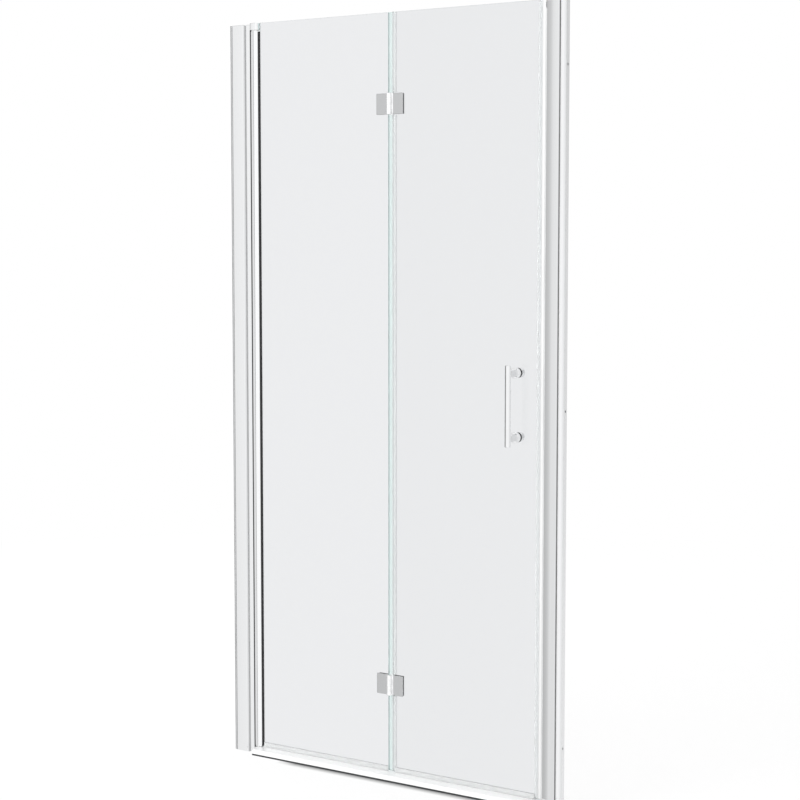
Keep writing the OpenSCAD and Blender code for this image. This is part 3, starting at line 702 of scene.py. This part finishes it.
# ---------------------------------------------------------------- clear seals
# Clear flexible strips clipped on the glass: drip seals along the bottom, a fin
# seal that closes the fold and the carrier of the door's magnet.
clear_strip = finish(
    "clear flexible strip", [(0.975, 0.988, 0.987), (0.985, 0.996, 0.995)], (0.04, 0.08),
    (120, 120, 20), 0.0, {"Transmission Weight": 0.86, "IOR": 1.12},
)
milky_strip = finish(
    "milky flexible strip", [(0.975, 0.985, 0.984), (0.985, 0.994, 0.993)], (0.05, 0.1),
    (20, 120, 120), 0.0, {"Transmission Weight": 0.5, "IOR": 1.15},
)
fin_strip = finish(
    "clear fin", [(0.85, 0.91, 0.905), (0.88, 0.93, 0.925)], (0.03, 0.06),
    (120, 120, 20), 0.0, {"Transmission Weight": 0.97, "IOR": 1.08},
)
cut_strip = finish(
    "cut seal edge", [(0.92, 0.93, 0.93), (0.96, 0.97, 0.97)], (0.4, 0.5),
    (120, 120, 20), 0.0,
)
carrier_strip = finish(
    "white magnet carrier", [(0.6, 0.608, 0.608), (0.65, 0.658, 0.658)], (0.4, 0.5),
    (120, 120, 20), 0.0,
)
FIN_X = 0.0095
CARRIER_X = 0.4325

for node, name, body, paint in (
    ("pivot_drip_seal", "drip_strip_pivot", "pivot_panel", milky_strip),
    ("door_drip_seal", "drip_strip_door", "door_panel", milky_strip),
    ("fold_seal", "fin_seal", "door_panel", clear_strip),
    ("door_edge_seal", "magnet_carrier", "door_panel", clear_strip),
):
    strip = carried_over(node, name)
    dress(strip, body, "clear_seal", paint, node)
    for extra in (cut_strip, fin_strip, carrier_strip):
        strip.data.materials.append(extra)
    right_end = max(v.co.x for v in strip.data.vertices) - 0.0001
    for face in strip.data.polygons:
        at_end = face.normal.x > 0.9 and face.center.x > right_end
        if node == "door_edge_seal" and face.center.x > CARRIER_X:
            face.material_index = 3
        elif face.normal.z > 0.9 or at_end:
            face.material_index = 1
        elif node == "fold_seal" and face.center.x < FIN_X:
            face.material_index = 2

# ---------------------------------------------------------------- hinges
# Chromed brass hinges with square leaves on the outside and a five part barrel
# over a pin. Black pads and a rear plate clamp each leaf on the glass.
PIN_X = 0.0045
PIN_Y = -0.008
HINGE_H = 0.051
LEAF_REACH = 0.0387
LEAF_GAP = 0.0085
LEAF_Y = (-0.0076, -0.0038)
BARREL_R = 0.0075
NECK_HIGHLIGHT = 0.0108
PART_H = HINGE_H / 4
REAR_SHORT = 0.0035


def hinge_leaf(name, side, lowest, z):
    """A leaf with two barrel parts; side is -1 for the left leaf and 1 for the right."""
    far, near = PIN_X + side * LEAF_REACH, PIN_X + side * (LEAF_GAP - 0.003)
    leaf = block(name, sorted((far, near)), LEAF_Y, (z - HINGE_H / 2, z + HINGE_H / 2))
    ease_edges(leaf, 0.0009, 3, lambda a, b: max(abs(a.x - near), abs(b.x - near)) > 1e-5)
    room = round_bar("room", (PIN_X, PIN_Y, z), BARREL_R + 0.0005, 0.08, "z", 64)
    combine(leaf, room, "DIFFERENCE")
    for part in (lowest, lowest + 2):
        middle = z - HINGE_H / 2 + (part + 0.5) * PART_H
        half = PART_H / 2 - 0.00025
        tie = block(
            "tie", sorted((PIN_X + side * 0.0005, PIN_X + side * (LEAF_GAP + 0.001))),
            (LEAF_Y[0] + 0.0001, LEAF_Y[1] - 0.0001), (middle - half, middle + half),
        )
        combine(leaf, tie, "UNION")
        barrel = round_bar("barrel", (PIN_X, PIN_Y, middle), BARREL_R, 2 * half, "z", 64)
        ease_edges(barrel, 0.0004, 2, any_edge)
        combine(leaf, barrel, "UNION")
    bore = round_bar("bore", (PIN_X, PIN_Y, z), 0.00305, 0.08, "z", 32)
    return combine(leaf, bore, "DIFFERENCE")


def rear_plate(name, side, z):
    """The clamp plate behind the glass, with two countersunk holes."""
    x = sorted((PIN_X + side * (LEAF_GAP + 0.001), PIN_X + side * (LEAF_REACH - REAR_SHORT)))
    y = (0.005, 0.0085)
    plate = block(name, x, y, (z - HINGE_H / 2 + 0.001, z + HINGE_H / 2 - 0.001))
    ease_edges(plate, 0.0008, 3, any_edge)
    hole_x = PIN_X + side * 0.0255
    for step in (-SCREW_STEP, SCREW_STEP):
        drill = round_bar("drill", (hole_x, 0.006, z + step), 0.0026, 0.03, "y", 32)
        combine(plate, drill, "DIFFERENCE")
        bpy.ops.mesh.primitive_cone_add(
            vertices=32, radius1=0.0061, radius2=0.0026, depth=0.0035,
            location=(hole_x, 0.00775, z + step), rotation=(math.pi / 2, 0, 0),
        )
        sink = bpy.context.object
        pick(sink)
        bpy.ops.object.transform_apply(location=True, rotation=True, scale=True)
        combine(plate, sink, "DIFFERENCE")
    return plate


# Lit and shaded copies of the chrome: the darker one is painted shade on the flat of the
# leaves, the brighter one a painted highlight on the barrels, the right leaf's neck and the
# handle's rear caps.
shaded_leaf_chrome = finish(
    "shaded leaf chrome", [(0.585, 0.59, 0.595), (0.615, 0.62, 0.625)], (0.14, 0.2),
    (400, 400, 30), 0.0, {"Metallic": 1.0},
)
highlight_chrome = finish(
    "highlight chrome", [(0.96, 0.965, 0.97), (0.98, 0.985, 0.99)], (0.16, 0.22),
    (60, 60, 60), 0.0, {"Metallic": 0.6},
)


def mark_neck_highlight(leaf):
    """Splits the right leaf's front along the line where the painted highlight on its neck
    ends.
    """
    pick(leaf)
    bpy.ops.object.mode_set(mode="EDIT")
    bpy.ops.mesh.select_all(action="SELECT")
    bpy.ops.mesh.bisect(plane_co=(PIN_X + NECK_HIGHLIGHT, 0, 0), plane_no=(1, 0, 0))
    bpy.ops.object.mode_set(mode="OBJECT")


def paint_barrel_highlight(leaf):
    """The barrel and the neck take the brighter copy of the chrome, a painted highlight; the
    flat of the leaf keeps the darker copy, a painted shade.
    """
    leaf.data.materials.append(highlight_chrome)
    for face in leaf.data.polygons:
        across = face.center.x - PIN_X
        out = math.hypot(across, face.center.y - PIN_Y)
        neck = 0 < across < NECK_HIGHLIGHT and face.center.y < -0.0074
        face.material_index = 1 if out < BARREL_R + 0.0002 or neck else 0


rise = HINGE_HEIGHTS[1] - HINGE_HEIGHTS[0]
for side, panel, lowest in ((-1, "pivot", 0), (1, "door", 1)):
    lower = hinge_leaf(f"{panel}_leaf_lower", side, lowest, HINGE_HEIGHTS[0])
    if side > 0:
        mark_neck_highlight(lower)
    upper = again(lower, f"{panel}_leaf_upper", (0, 0, rise))
    plate = rear_plate(f"{panel}_plate_lower", side, HINGE_HEIGHTS[0])
    plate_upper = again(plate, f"{panel}_plate_upper", (0, 0, rise))
    for piece, node in (
        (lower, f"hinge_{panel}_leaf_lower"), (upper, f"hinge_{panel}_leaf_upper"),
        (plate, f"hinge_{panel}_clamp_lower"), (plate_upper, f"hinge_{panel}_clamp_upper"),
    ):
        dress(piece, f"{panel}_panel", "chrome", shaded_leaf_chrome, node)
    paint_barrel_highlight(lower)
    paint_barrel_highlight(upper)
    paint_node(f"hinge_{panel}_pads", black_rubber)
    paint_node(f"hinge_{panel}_screws", steel)
paint_node("hinge_washers", nylon)

low_hinge = (PIN_X, PIN_Y, HINGE_HEIGHTS[0])
pin = round_bar("hinge_pin_low", low_hinge, 0.003, HINGE_H - 0.0002, "z", 32)
for way in (-1, 1):
    head_z = HINGE_HEIGHTS[0] + way * (HINGE_H / 2 + 0.0004)
    head = round_bar("head", (PIN_X, PIN_Y, head_z), 0.0055, 0.001, "z", 48)
    ease_edges(head, 0.0004, 2, any_edge)
    combine(pin, head, "UNION")
pin_upper = again(pin, "hinge_pin_high", (0, 0, rise))
dress(pin, "pivot_panel", "chrome", chrome, "hinge_pin_lower")
dress(pin_upper, "pivot_panel", "chrome", chrome, "hinge_pin_upper")

# ---------------------------------------------------------------- handle
# A straight chromed bar on two round posts. Each post stands on a rose, black
# washers protect the glass, and bolts come through from caps behind it.
HANDLE_X = HANDLE_HOLES[0][0]
BAR_Y = -0.043
BAR_R = 0.0075
BAR_L = 0.193
HANDLE_Z = 0.959
POST_HEIGHTS = (HANDLE_HOLES[0][1], HANDLE_HOLES[1][1])
STEM_R = 0.0092
ROSE_R = 0.0123
THREAD_R = 0.0025
BOLT_BORE_R = 0.0026


def bored(piece, height, radius, depth):
    """Drills the way for a bolt, from the middle of the bar towards the glass."""
    centre = (HANDLE_X, BAR_Y + depth / 2, height)
    return combine(piece, round_bar("drill", centre, radius, depth, "y", 32), "DIFFERENCE")


bar = round_bar("grip_bar", (HANDLE_X, BAR_Y, HANDLE_Z), BAR_R, BAR_L, "z", 96)
ease_edges(bar, 0.0016, 5, any_edge)
for height in POST_HEIGHTS:
    bored(bar, height, THREAD_R, 0.02)
dress(bar, "door_panel", "chrome", chrome, "handle_bar")


def pair(name, piece, slot, paint, node):
    """The lower piece and its copy at the upper post, as one."""
    copy = again(piece, "copy", (0, 0, POST_HEIGHTS[1] - POST_HEIGHTS[0]))
    dress(joined(name, piece, copy), "door_panel", slot, paint, node)


# Painted shade: a darker copy of the chrome on the handle's posts.
shaded_post_chrome = finish(
    "handle post chrome, shaded copy", [(0.76, 0.765, 0.77), (0.8, 0.805, 0.81)], (0.05, 0.09),
    (45, 45, 45), 0.0, {"Metallic": 1.0},
)
stem = round_bar("stem", (HANDLE_X, -0.02775, POST_HEIGHTS[0]), STEM_R, 0.0265, "y", 96)
groove = round_bar("groove", (HANDLE_X, BAR_Y, POST_HEIGHTS[0]), BAR_R, 0.06, "z", 96)
combine(stem, groove, "DIFFERENCE")
front = block("front", (0.34, 0.4), (-0.07, BAR_Y + 0.005), (0.86, 0.9))
combine(stem, front, "DIFFERENCE")
bored(stem, POST_HEIGHTS[0], BOLT_BORE_R, 0.08)
pair("grip_posts", stem, "chrome", shaded_post_chrome, "handle_posts")

rose = round_bar("rose", (HANDLE_X, -0.0095, POST_HEIGHTS[0]), ROSE_R, 0.01, "y", 96)
ease_edges(rose, 0.001, 3, lambda a, b: max(a.y, b.y) < -0.0144)
bored(rose, POST_HEIGHTS[0], BOLT_BORE_R, 0.08)
pair("grip_roses", rose, "chrome", chrome, "handle_roses")

cap = round_bar("rear_cap", (HANDLE_X, 0.011, POST_HEIGHTS[0]), 0.012, 0.013, "y", 96)
ease_edges(cap, 0.001, 4, lambda a, b: min(a.y, b.y) > 0.0174)
hollow_end(cap, 0.0175, 0.0064, -0.009)
bored(cap, POST_HEIGHTS[0], BOLT_BORE_R, 0.08)
# The rear caps take the brighter copy of the chrome, a painted highlight.
pair("grip_rear_caps", cap, "chrome", highlight_chrome, "handle_rear_caps")
paint_node("handle_washers", black_rubber)
paint_node("handle_bolts", steel)
